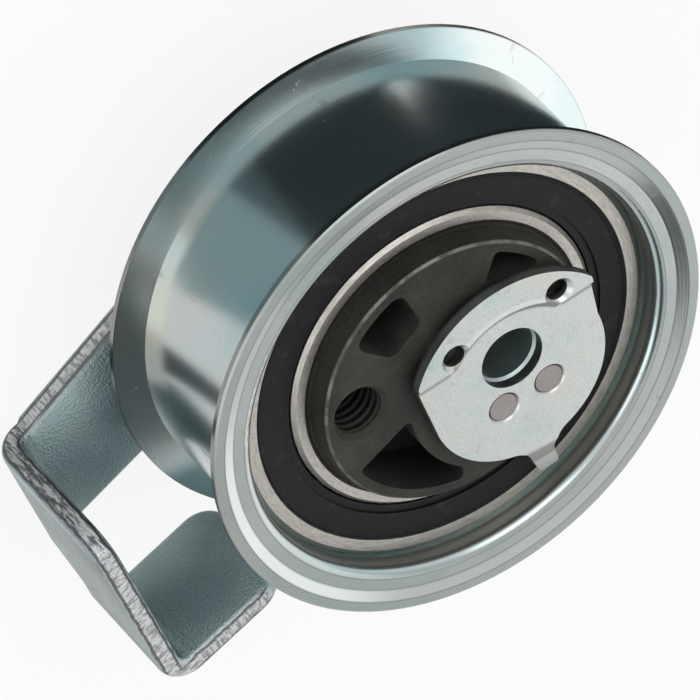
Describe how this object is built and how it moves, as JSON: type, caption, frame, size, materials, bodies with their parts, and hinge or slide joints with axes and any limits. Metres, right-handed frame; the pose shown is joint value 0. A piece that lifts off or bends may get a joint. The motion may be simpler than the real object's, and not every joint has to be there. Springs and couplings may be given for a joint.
{
  "type": "timing belt tensioner pulley",
  "caption": "Flanged timing belt tensioner pulley on a sealed ball bearing, with a spring-loaded eccentric hub, a pointer plate with spanner holes and a hooked sheet steel bracket",
  "frame": {"origin": "on the bolt axis, at the bracket's back face", "axes": "+Z runs along the bolt from the back face to the front plate, +X points away from the bracket's hook along its arm, +Y completes the right-handed frame"},
  "size_m": [0.089, 0.072, 0.0437],
  "materials": {
    "bracket_zinc": "zinc-plated pressed sheet",
    "pulley_zinc": "bright zinc plate on turned steel",
    "bearing_steel": "ground bearing steel",
    "seal_rubber": "matt nitrile rubber",
    "hub_steel": "dark phosphated steel",
    "bush_metal": "bronze-backed dry bush",
    "sleeve_steel": "turned steel",
    "plate_zinc": "satin zinc plate",
    "rivet_steel": "bare steel",
    "washer_polymer": "low-friction polymer",
    "spring_steel": "oiled spring wire",
    "cage_polymer": "glass-filled polymer",
    "ball_steel": "polished steel"
  },
  "bodies": {
    "bracket": {"bracket": "bracket_zinc"},
    "adjuster": {"adjusting_eccentric": "sleeve_steel", "adjusting_plate": "plate_zinc", "plate_rivet_1": "rivet_steel", "plate_rivet_2": "rivet_steel", "thrust_washer_front": "washer_polymer", "thrust_washer_rear": "washer_polymer"},
    "hub": {"eccentric_hub": "hub_steel", "plain_bush": "bush_metal", "bearing_inner_ring": "bearing_steel", "torsion_spring": "spring_steel"},
    "pulley": {"pulley_shell": "pulley_zinc", "bearing_outer_ring": "bearing_steel", "seal_front": "seal_rubber", "seal_rear": "seal_rubber"},
    "cage": {"ball_cage": "cage_polymer", "ball_01": "ball_steel", "ball_02": "ball_steel", "ball_03": "ball_steel", "ball_04": "ball_steel", "ball_05": "ball_steel", "ball_06": "ball_steel", "ball_07": "ball_steel", "ball_08": "ball_steel", "ball_09": "ball_steel", "ball_10": "ball_steel", "ball_11": "ball_steel", "ball_12": "ball_steel", "ball_13": "ball_steel", "ball_14": "ball_steel"}
  },
  "joints": [
    {"name": "adjuster_turn", "type": "hinge", "parent": "bracket", "child": "adjuster", "pos_m": [0, 0, 0.02], "axis": [0, 0, 1], "range_deg": [0, 60]},
    {"name": "hub_swing", "type": "hinge", "parent": "adjuster", "child": "hub", "pos_m": [-0.0007, -0.0034, 0.02], "axis": [0, 0, 1], "range_deg": [-25, 0], "stiffness_Nm_per_rad": 2, "springref_deg": 34.38, "deforming": ["torsion_spring"]},
    {"name": "pulley_spin", "type": "hinge", "parent": "hub", "child": "pulley", "pos_m": [-0.0064, 0.0029, 0.0283], "axis": [0, 0, 1], "continuous": true},
    {"name": "cage_spin", "type": "hinge", "parent": "hub", "child": "cage", "pos_m": [-0.0064, 0.0029, 0.0283], "axis": [0, 0, 1], "continuous": true}
  ],
  "couplings": [
    {"joint": "cage_spin", "follows": "pulley_spin", "ratio": 0.5664}
  ]
}
